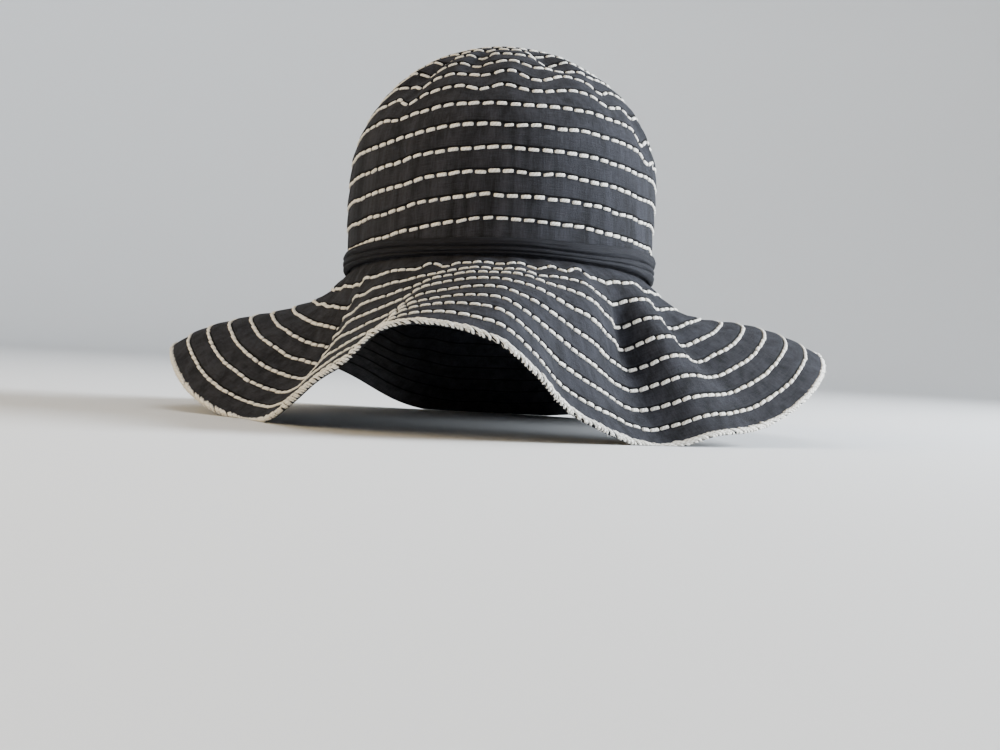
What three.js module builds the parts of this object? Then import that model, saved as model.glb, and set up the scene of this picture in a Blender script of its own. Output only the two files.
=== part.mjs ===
// A floppy sun hat sewn from black ribbon: a domed crown and a deep waving brim of lapped ribbon
// rows, a folded cloth band round the foot of the crown, and a cream overcast cord along the rim.
// Millimetres, +Z up. The hat stands by itself on the dips of its brim, on the plane z = 0, with
// its front towards -Y. Azimuths are degrees from the front, growing towards +X.
import * as THREE from 'three';

// Crown: an oval dome. The half sizes are those of its outer face where the brim joins it.
const seamHalfWidth = 84;
const seamHalfDepth = 100;
const crownHeight = 132;
const wallHeight = 62; // the upright part, below the dome
const wallBulge = 3.5; // how far the upright part swells by its top
const domePower = 1.86; // 2 is an ellipse; less draws the shoulders in

// Ribbon rows, which lap over each other from the tip outwards.
const ribbonPitch = 12.6;
const ribbonWall = 1.4;
const ribbonLedge = 0.9; // how far a row's outer edge stands over the next one
const ledgeRise = 1.2; // length of the sloping face under that edge
const firstCrownRow = 8; // height of the lowest lap, under the band
const crownSkirt = 2.4; // the crown's hem, inside the brim's inner ring
const tipRadius = 7; // the flat start of the spiral on top

// Brim: rows of ribbon that fall away from the seam in waves.
const brimWidth = 112;
const brimRows = 9;

// Band: a soft sash round the crown, with two creases along it.
const bandHeight = 12;
const bandThickness = 3.2;

// Overcast cord on the rim's upper face.
const cordRadius = 1.5;

const clearance = 0.3; // between pieces that touch on the real hat
const settle = 2.2; // how much of the rim's lowest edge is pressed flat by its weight

const crownSegments = 60;
const brimSegments = 90;
const profileSteps = 60; // points along each part of the crown's side
const innerRings = 9; // rings of the crown's inner face
const stepsPerRow = 2; // rings to each row of the brim
const underStride = 3; // steps between the rings of the brim's under face
const cordSides = 6;

const settlingRounds = 8; // times that the dips are sought again as the hat tips onto them

// The three stretches of the rim, by azimuth, whose lowest points carry the hat.
const restingDips = [
  { name: 'right front', from: 10, to: 70 },
  { name: 'left front', from: -85, to: -25 },
  { name: 'back', from: 140, to: 220 },
];

// Waves of the brim. Each row is one azimuth, with the slope below level at the seam, each quarter
// of the way out and at the rim, and how far the row of cloth swings towards the front, in degrees.
const brimWaves = [
  { at: -165, seam: 38, inner: 33, middle: 30, outer: 30, rim: 33, swing: 0 },
  { at: -145, seam: 32, inner: 19, middle: 12, outer: 12, rim: 18, swing: 0 },
  { at: -115, seam: 42, inner: 19, middle: 10, outer: 15, rim: 34, swing: 0 },
  { at: -94, seam: 44, inner: 20, middle: 12, outer: 17, rim: 44, swing: 0 },
  { at: -78, seam: 58, inner: 44, middle: 30, outer: 36, rim: 48, swing: 3 },
  { at: -62, seam: 68, inner: 72, middle: 50, outer: 38, rim: 42, swing: 4 },
  { at: -48, seam: 56, inner: 60, middle: 56, outer: 46, rim: 44, swing: 5 },
  { at: -38, seam: 46, inner: 46, middle: 50, outer: 44, rim: 40, swing: 8 },
  { at: -28, seam: 42, inner: 38, middle: 42, outer: 34, rim: 30, swing: 8 },
  { at: -12, seam: 33, inner: 20, middle: 29, outer: 21, rim: 27, swing: 0 },
  { at: 0, seam: 32, inner: 15, middle: 28, outer: 34, rim: 46, swing: 0 },
  { at: 6, seam: 34, inner: 16, middle: 40, outer: 54, rim: 50, swing: 0 },
  { at: 12, seam: 32, inner: 22, middle: 56, outer: 80, rim: 50, swing: 0 },
  { at: 18, seam: 32, inner: 32, middle: 74, outer: 72, rim: 54, swing: 0 },
  { at: 25, seam: 28, inner: 46, middle: 86, outer: 64, rim: 54, swing: 0 },
  { at: 31, seam: 38, inner: 60, middle: 82, outer: 58, rim: 48, swing: 0 },
  { at: 38, seam: 46, inner: 76, middle: 60, outer: 60, rim: 40, swing: 0 },
  { at: 46, seam: 34, inner: 58, middle: 56, outer: 55, rim: 46, swing: 0 },
  { at: 57, seam: 46, inner: 55, middle: 44, outer: 46, rim: 50, swing: 0 },
  { at: 66, seam: 46, inner: 42, middle: 36, outer: 37, rim: 43, swing: 0 },
  { at: 75, seam: 61, inner: 20, middle: 16, outer: 25, rim: 35, swing: -5 },
  { at: 84, seam: 72, inner: 5, middle: 3, outer: 17, rim: 32, swing: -15 },
  { at: 94, seam: 72, inner: 2, middle: 4, outer: 15, rim: 33, swing: -13 },
  { at: 118, seam: 46, inner: 20, middle: 17, outer: 20, rim: 32, swing: -3 },
  { at: 145, seam: 37, inner: 30, middle: 27, outer: 28, rim: 32, swing: 0 },
  { at: 172, seam: 38, inner: 33, middle: 31, outer: 32, rim: 36, swing: 0 },
];

// Small folds across the brim, from the seam (share 0) to the rim (share 1). A fold runs from one
// azimuth to another, and its height is a share of the ribbon pitch, below zero for a valley.
const brimFolds = [
  { name: 'right ridge', seamAt: 46, rimAt: 48, height: 0.16, halfWidth: 8, from: 0, to: 0.85 },
  { name: 'right valley', seamAt: 59, rimAt: 58, height: -0.14, halfWidth: 8, from: 0, to: 0.85 },
  { name: 'front valley', seamAt: 39, rimAt: 36, height: -0.1, halfWidth: 7, from: 0, to: 0.85 },
  { name: 'left tuck', seamAt: -64, rimAt: -48, height: -0.2, halfWidth: 8, from: 0, to: 0.85 },
  { name: 'back pleat', seamAt: 160, rimAt: 150, height: 0.2, halfWidth: 9, from: 0, to: 0.7 },
  { name: 'back tuck', seamAt: -150, rimAt: -158, height: -0.2, halfWidth: 9, from: 0, to: 0.7 },
];

// Dents in the crown. Height is a share of the way up its side from seam to tip, depth a share of
// the ribbon pitch, and lean how far the dent turns, in degrees, from its foot to its top.
const crownDents = [
  { name: 'left notch', at: -42, height: 0.57, depth: 0.34, halfWidth: 7, halfHeight: 0.2, lean: 12 },
  { name: 'left crease', at: -15, height: 0.64, depth: 0.28, halfWidth: 8, halfHeight: 0.18, lean: 2 },
  { name: 'front dip', at: 26, height: 0.68, depth: 0.36, halfWidth: 14, halfHeight: 0.16, lean: -6 },
  { name: 'right shoulder', at: 76, height: 0.46, depth: 0.6, halfWidth: 10, halfHeight: 0.2, lean: -4 },
  { name: 'left side', at: -90, height: 0.48, depth: 0.34, halfWidth: 44, halfHeight: 0.36, lean: 0 },
  { name: 'back crease', at: 170, height: 0.6, depth: 0.3, halfWidth: 12, halfHeight: 0.2, lean: 4 },
];

// Height of the band's upper edge as a share of its height, round the crown.
const bandEdge = [
  { at: -150, share: 1.0 },
  { at: -90, share: 0.95 },
  { at: -45, share: 0.8 },
  { at: -10, share: 0.7 },
  { at: 40, share: 0.9 },
  { at: 85, share: 1.3 },
  { at: 140, share: 1.1 },
];

// Section of the band, from its foot up: height and swell as shares of its height and thickness.
const bandSection = [
  { up: 0.0, out: 0.35 },
  { up: 0.1, out: 0.92 },
  { up: 0.25, out: 1.0 },
  { up: 0.38, out: 0.5 },
  { up: 0.5, out: 0.8 },
  { up: 0.68, out: 0.76 },
  { up: 0.76, out: 0.42 },
  { up: 0.88, out: 0.58 },
  { up: 1.0, out: 0.3 },
];

const upright = new THREE.Vector3(0, 0, 1);
const turn = (degrees) => THREE.MathUtils.degToRad(degrees);
const azimuthsOf = (count) => Array.from({ length: count }, (_, i) => (360 * i) / count);
const crownAzimuths = azimuthsOf(crownSegments);
const brimAzimuths = azimuthsOf(brimSegments);

// Smooth closed curve through one column of a table of azimuths.
function roundCurve(table, column) {
  const count = table.length;
  const at = (i) => table[((i % count) + count) % count].at + 360 * Math.floor(i / count);
  const value = (i) => table[((i % count) + count) % count][column];
  const tangent = (i) => (value(i + 1) - value(i - 1)) / (at(i + 1) - at(i - 1));
  return (azimuth) => {
    const a = THREE.MathUtils.euclideanModulo(azimuth - at(0), 360) + at(0);
    let i = 0;
    while (a >= at(i + 1)) i += 1;
    const span = at(i + 1) - at(i);
    const u = (a - at(i)) / span;
    const [u2, u3] = [u * u, u * u * u];
    return (
      (2 * u3 - 3 * u2 + 1) * value(i) +
      (u3 - 2 * u2 + u) * span * tangent(i) +
      (3 * u2 - 2 * u3) * value(i + 1) +
      (u3 - u2) * span * tangent(i + 1)
    );
  };
}

// 1 in the middle of a bump, 0 at its ends and beyond.
const bump = (x) => (Math.abs(x) < 1 ? Math.cos((x * Math.PI) / 2) ** 2 : 0);
const wrapped = (degrees) => THREE.MathUtils.euclideanModulo(degrees + 180, 360) - 180;

// Outward direction of the seam oval in plan.
function outward(azimuth) {
  const a = turn(azimuth);
  return new THREE.Vector3(
    seamHalfDepth * Math.sin(a), -seamHalfWidth * Math.cos(a), 0,
  ).normalize();
}

// The crown's side as a chain of points: arc length, share of the seam oval, and height.
const crownSide = (() => {
  const radius = (seamHalfWidth + seamHalfDepth) / 2;
  const swollen = 1 + wallBulge / seamHalfWidth;
  const chain = [];
  for (let i = 0; i <= profileSteps; i += 1) {
    const share = i / profileSteps;
    const swell = (wallBulge / seamHalfWidth) * Math.sin((share * Math.PI) / 2);
    chain.push({ oval: 1 + swell, up: share * wallHeight });
  }
  for (let i = 1; i <= profileSteps; i += 1) {
    const u = ((i / profileSteps) * Math.PI) / 2;
    chain.push({
      oval: swollen * Math.max(Math.cos(u), 0) ** (2 / domePower),
      up: wallHeight + (crownHeight - wallHeight) * Math.sin(u) ** (2 / domePower),
    });
  }
  chain[0].arc = 0;
  for (let i = 1; i < chain.length; i += 1) {
    const [a, b] = [chain[i - 1], chain[i]];
    b.arc = a.arc + Math.hypot((b.oval - a.oval) * radius, b.up - a.up);
  }
  return chain;
})();
const crownArc = crownSide[crownSide.length - 1].arc;

function crownSideAt(arc) {
  let i = 1;
  while (i < crownSide.length - 1 && crownSide[i].arc < arc) i += 1;
  const [a, b] = [crownSide[i - 1], crownSide[i]];
  const u = (arc - a.arc) / (b.arc - a.arc);
  return {
    oval: THREE.MathUtils.lerp(a.oval, b.oval, u),
    up: THREE.MathUtils.lerp(a.up, b.up, u),
    out: (-(b.oval - a.oval) * (seamHalfWidth + seamHalfDepth)) / 2,
    rise: b.up - a.up,
  };
}

// A point of the crown, lifted off its smooth outer face by offset.
function crownPoint(azimuth, arc, offset) {
  const side = crownSideAt(arc);
  const dent = crownDents.reduce((sum, d) => {
    const along = (arc / crownArc - d.height) / d.halfHeight;
    const across = wrapped(azimuth - d.at - d.lean * along) / d.halfWidth;
    return sum + d.depth * ribbonPitch * bump(across) * bump(along);
  }, 0);
  const normal = outward(azimuth).multiplyScalar(side.rise);
  normal.z = side.out;
  normal.normalize();
  const a = turn(azimuth);
  return new THREE.Vector3(
    seamHalfWidth * side.oval * Math.sin(a), -seamHalfDepth * side.oval * Math.cos(a), side.up,
  ).addScaledVector(normal, offset - dent);
}

const slopeColumns = ['seam', 'inner', 'middle', 'outer', 'rim'];
const slopeCurves = slopeColumns.map((column) => roundCurve(brimWaves, column));
const swing = roundCurve(brimWaves, 'swing');

const brimSteps = brimRows * stepsPerRow;
const stepWidth = brimWidth / brimSteps;

// The brim's smooth face at one azimuth: points at even steps from the seam to the rim. The slope
// goes evenly from one of its five values in the table to the next.
function brimRay(azimuth) {
  const side = Math.sign(wrapped(azimuth)) || 1;
  const way = outward(azimuth).applyAxisAngle(upright, -side * turn(swing(azimuth)));
  const slopes = slopeCurves.map((curve) => turn(curve(azimuth)));
  const a = turn(azimuth);
  const point = new THREE.Vector3(seamHalfWidth * Math.sin(a), -seamHalfDepth * Math.cos(a), 0);
  point.addScaledVector(outward(azimuth), clearance);
  const ray = [point.clone()];
  for (let i = 0; i < brimSteps; i += 1) {
    const quarters = (4 * (i + 0.5)) / brimSteps;
    const k = Math.floor(quarters);
    const slope = THREE.MathUtils.lerp(slopes[k], slopes[k + 1], quarters - k);
    point.addScaledVector(way, Math.cos(slope) * stepWidth);
    point.addScaledVector(upright, -Math.sin(slope) * stepWidth);
    ray.push(point.clone());
  }
  return ray;
}

// How far the small folds lift the brim at one place.
function brimFoldAt(azimuth, share) {
  return brimFolds.reduce((sum, f) => {
    const centre = THREE.MathUtils.lerp(f.seamAt, f.rimAt, share);
    const across = wrapped(azimuth - centre) / f.halfWidth;
    const along = (2 * share - f.from - f.to) / (f.to - f.from);
    return sum + f.height * ribbonPitch * bump(across) * bump(along);
  }, 0);
}

// The brim's face on a grid, with its upward normals: points[azimuth][step from the seam].
const brimGrid = (() => {
  const smooth = brimAzimuths.map(brimRay);
  const normalsOf = (rays) =>
    rays.map((ray, i) =>
      ray.map((_, j) => {
        const before = rays[(i + brimSegments - 1) % brimSegments][j];
        const after = rays[(i + 1) % brimSegments][j];
        const inner = ray[Math.max(j - 1, 0)];
        const outer = ray[Math.min(j + 1, brimSteps)];
        return outer.clone().sub(inner).cross(after.clone().sub(before)).normalize();
      }),
    );
  const smoothNormals = normalsOf(smooth);
  const lift = (i, j) => brimFoldAt(brimAzimuths[i], j / brimSteps);
  const folded = smooth.map((ray, i) =>
    ray.map((p, j) => p.clone().addScaledVector(smoothNormals[i][j], lift(i, j))),
  );
  return { points: folded, normals: normalsOf(folded) };
})();

// The under edge of the rim, which meets the floor.
const rimFoot = brimAzimuths.map((azimuth, i) => ({
  azimuth,
  point: brimGrid.points[i][brimSteps]
    .clone()
    .addScaledVector(brimGrid.normals[i][brimSteps], -ribbonWall),
}));

// The lowest point of one stretch of the rim, along a given upward direction.
function lowestOf(dip, up) {
  const past = (azimuth) => THREE.MathUtils.euclideanModulo(azimuth - dip.from, 360);
  const inStretch = rimFoot.filter(({ azimuth }) => past(azimuth) <= dip.to - dip.from);
  const stretch = inStretch.map(({ point }) => point);
  return stretch.reduce((lowest, p) => (p.dot(up) < lowest.dot(up) ? p : lowest));
}

// The floor's upward normal in the crown's own frame: square to the plane through the three dips.
const floorUp = (() => {
  const up = upright.clone();
  for (let round = 0; round < settlingRounds; round += 1) {
    const [a, b, c] = restingDips.map((dip) => lowestOf(dip, up));
    up.crossVectors(a.clone().sub(b), c.clone().sub(b)).normalize();
    if (up.z < 0) up.negate();
  }
  return up;
})();
const seamOverFloor = -Math.min(...rimFoot.map(({ point }) => point.dot(floorUp))) - settle;

// Cloth that would lie below the floor is pressed flat on it.
function pressed(point) {
  const under = point.dot(floorUp) + seamOverFloor;
  return under < 0 ? point.addScaledVector(floorUp, -under) : point;
}

// Closed skin over rings of points that run round the hat, the outer ones first and from the top
// down. With closed ends each end ring shrinks to its middle, otherwise the last meets the first.
function skin(rings, closedEnds) {
  const round = rings[0].length;
  const positions = [];
  const faces = [];
  rings.forEach((ring) => ring.forEach((p) => positions.push(p.x, p.y, p.z)));
  const at = (ring, i) => (ring % rings.length) * round + (i % round);
  const last = closedEnds ? rings.length - 1 : rings.length;
  for (let j = 0; j < last; j += 1) {
    for (let i = 0; i < round; i += 1) {
      faces.push(at(j, i), at(j + 1, i), at(j + 1, i + 1), at(j, i), at(j + 1, i + 1), at(j, i + 1));
    }
  }
  if (closedEnds) {
    [rings[0], rings[rings.length - 1]].forEach((ring, end) => {
      const centre = ring.reduce((sum, p) => sum.add(p), new THREE.Vector3()).divideScalar(round);
      const tip = positions.push(centre.x, centre.y, centre.z) / 3 - 1;
      for (let i = 0; i < round; i += 1) {
        if (end) faces.push(tip, at(last, i + 1), at(last, i));
        else faces.push(tip, at(0, i), at(0, i + 1));
      }
    });
  }
  const geometry = new THREE.BufferGeometry();
  geometry.setAttribute('position', new THREE.Float32BufferAttribute(positions, 3));
  geometry.setIndex(faces);
  geometry.computeVertexNormals();
  return geometry;
}

const crownRing = (arc, offset) => crownAzimuths.map((a) => crownPoint(a, arc, offset));

// Crown: outer face from the tip down over every lap, round the hem and up the inner face.
function crownGeometry() {
  const tipArc = crownArc - tipRadius;
  const laps = [];
  for (let arc = firstCrownRow; arc < tipArc - ribbonPitch / 2; arc += ribbonPitch) {
    laps.push(arc);
  }
  const outer = [crownRing(tipArc, 0)];
  laps.reverse().forEach((arc) => {
    outer.push(crownRing(arc + ledgeRise, ribbonLedge), crownRing(arc, 0));
  });
  const lowered = (ring) => ring.map((p) => p.setZ(p.z - crownSkirt));
  const hem = [lowered(crownRing(0, 0)), lowered(crownRing(0, -ribbonWall))];
  const inner = Array.from({ length: innerRings }, (_, i) =>
    crownRing((tipArc * (i + 0.5)) / innerRings, -ribbonWall),
  );
  return skin([...outer, ...hem, ...inner, crownRing(tipArc, -ribbonWall)], true);
}

const brimRing = (step, offset) =>
  brimGrid.points
    .map((ray, i) => ray[step].clone().addScaledVector(brimGrid.normals[i][step], offset))
    .map(pressed);

// Brim: upper face over every lap to the rim, then the under face back to the seam.
function brimGeometry() {
  const upper = [];
  for (let row = 0; row < brimRows; row += 1) {
    const first = row * stepsPerRow;
    const edge = brimRing(first + stepsPerRow, ribbonLedge);
    const before = brimRing(first + stepsPerRow - 1, ribbonLedge);
    const back = row < brimRows - 1 ? ledgeRise / stepWidth : 0;
    upper.push(brimRing(first, 0), edge.map((p, i) => p.lerp(before[i], back)));
  }
  const under = [];
  for (let step = brimSteps; step > 0; step -= underStride) {
    under.push(brimRing(step, -ribbonWall));
  }
  const root = brimGrid.points.map((ray) => ray[0].clone().setZ(-ribbonWall));
  return skin([...upper, ...under, root], false);
}

// Band: a folded section carried round the foot of the crown.
function bandGeometry() {
  const edge = roundCurve(bandEdge, 'share');
  const seat = ribbonLedge + clearance;
  const foot = 2 * clearance;
  const ringAt = (up, out) =>
    crownAzimuths.map((a) => crownPoint(a, foot + up * bandHeight * edge(a), seat + out));
  const outer = bandSection.map((row) => ringAt(row.up, row.out * bandThickness)).reverse();
  return skin([...outer, ringAt(0, 0), ringAt(1, 0)], false);
}

// Overcast cord: a round section carried along the rim, seated on its upper face.
function cordGeometry() {
  const frame = brimGrid.points.map((ray, i) => {
    const normal = brimGrid.normals[i][brimSteps];
    const out = ray[brimSteps].clone().sub(ray[brimSteps - 1]).normalize();
    const centre = ray[brimSteps].clone()
      .addScaledVector(normal, ribbonLedge + clearance + cordRadius)
      .addScaledVector(out, -cordRadius / 2);
    return { centre, normal, out };
  });
  const rings = Array.from({ length: cordSides }, (_, j) => {
    const a = (2 * Math.PI * (j + 0.5)) / cordSides;
    return frame.map((f) =>
      pressed(
        f.centre.clone()
          .addScaledVector(f.normal, cordRadius * Math.cos(a))
          .addScaledVector(f.out, cordRadius * Math.sin(a)),
      ),
    );
  });
  return skin(rings, false);
}

// Black woven ribbon, matt, with a faint blue cast.
function ribbonCloth() {
  const color = 0x26252b;
  return new THREE.MeshStandardMaterial({ color, roughness: 0.9, metalness: 0, flatShading: true });
}

// Plain black cloth of the sash, a little smoother than the ribbon.
function sashCloth() {
  const color = 0x1e1d22;
  return new THREE.MeshStandardMaterial({ color, roughness: 0.85, metalness: 0, flatShading: true });
}

// Cream cotton thread.
function creamThread() {
  const color = 0xe6dfd0;
  return new THREE.MeshStandardMaterial({ color, roughness: 0.95, metalness: 0, flatShading: true });
}

function piece(name, geometry, material) {
  const mesh = new THREE.Mesh(geometry, material);
  mesh.name = name;
  return mesh;
}

// The pieces in the crown's own upright frame, then tipped onto the three dips.
const tipped = new THREE.Group();
tipped.add(
  piece('crown', crownGeometry(), ribbonCloth()),
  piece('brim', brimGeometry(), ribbonCloth()),
  piece('band', bandGeometry(), sashCloth()),
  piece('rim_cord', cordGeometry(), creamThread()),
);
tipped.quaternion.setFromUnitVectors(floorUp, upright);
tipped.position.z = seamOverFloor;

// The hat stands over the origin by the middle of its outline in plan.
const hat = new THREE.Group();
hat.add(tipped);
hat.updateMatrixWorld(true);
const middle = new THREE.Box3().setFromObject(tipped, true).getCenter(new THREE.Vector3());
tipped.position.x -= middle.x;
tipped.position.y -= middle.y;

export default hat;
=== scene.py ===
"""Floppy sun hat of lapped black ribbon: the fine cloth, stitches, band, rim and stage.

Metres, +Z up. Shapes are worked out upright, with the seam between crown and brim on z = 0 and the
front towards -Y, and are then set down on the three dips of the brim. Azimuths are degrees from
the front, growing towards +X.
"""

from collections import namedtuple

import bpy
import numpy as np
from bpy.props import FloatProperty, FloatVectorProperty, IntProperty, PointerProperty
from mathutils import Matrix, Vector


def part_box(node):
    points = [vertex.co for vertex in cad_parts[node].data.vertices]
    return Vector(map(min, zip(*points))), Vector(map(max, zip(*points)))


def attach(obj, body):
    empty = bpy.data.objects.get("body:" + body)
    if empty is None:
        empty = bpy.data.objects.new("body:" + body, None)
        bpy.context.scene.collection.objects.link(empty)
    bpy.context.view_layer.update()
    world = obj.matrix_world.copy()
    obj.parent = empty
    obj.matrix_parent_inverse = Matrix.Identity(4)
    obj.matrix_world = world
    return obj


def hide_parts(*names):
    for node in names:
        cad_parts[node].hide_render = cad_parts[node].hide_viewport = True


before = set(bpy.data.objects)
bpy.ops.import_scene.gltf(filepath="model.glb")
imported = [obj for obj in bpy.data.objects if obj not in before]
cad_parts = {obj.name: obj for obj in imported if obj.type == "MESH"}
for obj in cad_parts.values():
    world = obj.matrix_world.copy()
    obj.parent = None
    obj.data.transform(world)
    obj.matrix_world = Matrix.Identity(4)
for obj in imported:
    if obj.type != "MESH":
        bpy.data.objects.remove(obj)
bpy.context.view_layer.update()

bl_info = {
    "name": "Floppy sun hat",
    "version": (1, 0, 0),
    "blender": (4, 5, 0),
    "location": "3D Viewport > Sidebar > Hat",
    "description": "Makes a floppy sun hat of lapped ribbon with cream stitching",
    "category": "Add Mesh",
}

# Waves of the brim: at one azimuth, the slope below level at the seam, each quarter of the way out
# and at the rim, and how far the row of cloth swings towards the front, in degrees.
Wave = namedtuple("Wave", "at seam inner middle outer rim swing")
SLOPES = ("seam", "inner", "middle", "outer", "rim")
BRIM_WAVES = (
    Wave(-165, 38, 33, 30, 30, 33, 0),
    Wave(-145, 32, 19, 12, 12, 18, 0),
    Wave(-115, 42, 19, 10, 15, 34, 0),
    Wave(-94, 44, 20, 12, 17, 44, 0),
    Wave(-78, 58, 44, 30, 36, 48, 3),
    Wave(-62, 68, 72, 50, 38, 42, 4),
    Wave(-48, 56, 60, 56, 46, 44, 5),
    Wave(-38, 46, 46, 50, 44, 40, 8),
    Wave(-28, 42, 38, 42, 34, 30, 8),
    Wave(-12, 33, 20, 29, 21, 27, 0),
    Wave(0, 32, 15, 28, 34, 46, 0),
    Wave(6, 34, 16, 40, 54, 50, 0),
    Wave(12, 32, 22, 56, 80, 50, 0),
    Wave(18, 32, 32, 74, 72, 54, 0),
    Wave(25, 28, 46, 86, 64, 54, 0),
    Wave(31, 38, 60, 82, 58, 48, 0),
    Wave(38, 46, 76, 60, 60, 40, 0),
    Wave(46, 34, 58, 56, 55, 46, 0),
    Wave(57, 46, 55, 44, 46, 50, 0),
    Wave(66, 46, 42, 36, 37, 43, 0),
    Wave(75, 61, 20, 16, 25, 35, -5),
    Wave(84, 72, 5, 3, 17, 32, -15),
    Wave(94, 72, 2, 4, 15, 33, -13),
    Wave(118, 46, 20, 17, 20, 32, -3),
    Wave(145, 37, 30, 27, 28, 32, 0),
    Wave(172, 38, 33, 31, 32, 36, 0),
)

# Folds across the brim from the seam, share 0, to the rim, share 1. Height is a share of the ribbon
# pitch, below zero for a valley.
Fold = namedtuple("Fold", "seam_at rim_at height half_width start end")
BRIM_FOLDS = (
    Fold(46, 48, 0.16, 8, 0, 0.85),
    Fold(59, 58, -0.14, 8, 0, 0.85),
    Fold(39, 36, -0.1, 7, 0, 0.85),
    Fold(-64, -48, -0.2, 8, 0, 0.85),
    Fold(160, 150, 0.2, 9, 0, 0.7),
    Fold(-150, -158, -0.2, 9, 0, 0.7),
)

# Sharper creases that lie on those folds.
BRIM_CREASES = (
    Fold(50, 51, 0.04, 3, 0.2, 0.95),
    Fold(40, 35, -0.1, 4, 0.05, 0.8),
    Fold(-64, -48, -0.08, 4, 0, 0.8),
    Fold(12, 8, -0.06, 5, 0, 0.5),
)

# Dents of the crown. Height is a share of the way up its side, depth a share of the ribbon pitch,
# and lean how far the dent turns, in degrees, from its foot to its top.
Dent = namedtuple("Dent", "at height depth half_width half_height lean")
CROWN_DENTS = (
    Dent(-42, 0.57, 0.34, 7, 0.2, 12),
    Dent(-15, 0.64, 0.28, 8, 0.18, 2),
    Dent(26, 0.68, 0.36, 14, 0.16, -6),
    Dent(76, 0.46, 0.6, 10, 0.2, -4),
    Dent(-90, 0.48, 0.34, 44, 0.36, 0),
    Dent(170, 0.6, 0.3, 12, 0.2, 4),
)

# Puckers of the ribbon rows on the crown: how far the rows sag there, as a share of the pitch.
Pucker = namedtuple("Pucker", "at height sag depth half_width half_height lean")
CROWN_PUCKERS = (
    Pucker(-37, 0.54, 0.34, 0.14, 7, 0.15, 4),
    Pucker(-46, 0.52, -0.2, -0.06, 7, 0.14, 4),
    Pucker(-9, 0.55, 0.24, 0.08, 8, 0.15, 0),
    Pucker(2, 0.56, -0.08, -0.04, 7, 0.14, 0),
    Pucker(14, 0.57, 0.3, 0.1, 12, 0.15, 2),
    Pucker(29, 0.56, -0.08, -0.05, 9, 0.14, 0),
    Pucker(44, 0.54, 0.32, 0.1, 9, 0.14, 2),
    Pucker(62, 0.42, 0.52, 0.18, 8, 0.12, -3),
    Pucker(75, 0.42, 0.34, 0.0, 12, 0.13, 0),
)

# How far the rows lie below level round the crown, low down and high up, as shares of the pitch.
Sag = namedtuple("Sag", "at low high")
ROW_SAG = (
    Sag(-140, 0.35, 0.45),
    Sag(-96, 0.46, 0.6),
    Sag(-64, 0.64, 0.72),
    Sag(-50, 0.6, 0.66),
    Sag(-40, 0.5, 0.58),
    Sag(-30, 0.34, 0.42),
    Sag(-20, 0.2, 0.24),
    Sag(-10, 0.08, 0.18),
    Sag(0, 0.0, 0.17),
    Sag(14, 0.05, 0.18),
    Sag(28, 0.08, 0.14),
    Sag(40, 0.14, 0.18),
    Sag(60, 0.16, 0.3),
    Sag(80, 0.05, 0.2),
    Sag(110, 0.12, 0.22),
    Sag(180, 0.24, 0.3),
)

# Height of the band's upper edge round the crown, and of its two long creases, as shares of its
# height.
Edge = namedtuple("Edge", "at top upper lower")
BAND_EDGE = (
    Edge(-150, 1.0, 0.6, 0.24),
    Edge(-90, 0.95, 0.62, 0.3),
    Edge(-45, 0.8, 0.55, 0.22),
    Edge(-10, 0.7, 0.5, 0.2),
    Edge(40, 0.9, 0.46, 0.24),
    Edge(85, 1.3, 0.56, 0.3),
    Edge(140, 1.1, 0.62, 0.26),
)

# Lap of one ribbon over the next: distance above its lower edge as a share of the pitch, and lift.
Lap = namedtuple("Lap", "up lift")
LAP = (
    Lap(0.0, 0.0),
    Lap(0.02, 0.5),
    Lap(0.045, 0.9),
    Lap(0.08, 1.0),
    Lap(0.14, 1.0),
    Lap(0.24, 0.93),
    Lap(0.38, 0.8),
    Lap(0.54, 0.6),
    Lap(0.7, 0.38),
    Lap(0.84, 0.18),
    Lap(0.93, 0.06),
    Lap(0.98, 0.01),
)

# A stitch from end to end: place along it, width and thickness as shares of its own, and height of
# its middle over the cloth as a share of half its thickness.
Form = namedtuple("Form", "along width thick up")
STITCH_FORM = (
    Form(-0.5, 0.6, 0.5, -0.5),
    Form(-0.46, 0.9, 0.85, -0.1),
    Form(-0.36, 1.0, 1.0, 0.25),
    Form(-0.12, 1.0, 1.0, 0.4),
    Form(0.12, 1.0, 1.0, 0.4),
    Form(0.36, 1.0, 1.0, 0.25),
    Form(0.46, 0.9, 0.85, -0.1),
    Form(0.5, 0.6, 0.5, -0.5),
)

# The three stretches of the rim whose lowest points carry the hat.
Stretch = namedtuple("Stretch", "start end")
RESTING_DIPS = (Stretch(10, 70), Stretch(-85, -25), Stretch(140, 220))

# Turns of one overcast strand round the rim: along it as a share of its length, outwards and
# upwards as shares of its reach, and its thickness as a share of its own.
Bend = namedtuple("Bend", "along out up thick")
OVERCAST_PATH = (
    Bend(-0.5, -1.0, 0.28, 0.45),
    Bend(-0.36, -0.8, 0.42, 0.85),
    Bend(-0.12, -0.45, 0.5, 1.0),
    Bend(0.12, -0.1, 0.42, 1.0),
    Bend(0.32, 0.14, 0.16, 1.0),
    Bend(0.44, 0.16, -0.18, 0.9),
    Bend(0.5, -0.08, -0.44, 0.5),
)

# Soft unevenness: seed, fewest and most waves round the hat, and how far they slide along the
# cloth.
Ripple = namedtuple("Ripple", "seed slowest fastest drift")
SAG_RIPPLE = Ripple(5, 7, 26, 220)
CROWN_RUMPLE = Ripple(8, 4, 17, 90)
GATHERS = Ripple(3, 16, 44, 60)
BRIM_RUMPLE = Ripple(4, 9, 30, 70)
BRIM_ROW_RIPPLE = Ripple(40, 12, 48, 0)  # the row's number is added to its seed
BAND_TOP_RIPPLE = Ripple(67, 3, 12, 0)
BAND_RUMPLE = Ripple(65, 6, 40, 9)
BAND_WRINKLES = Ripple(66, 2, 8, 0)

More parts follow.
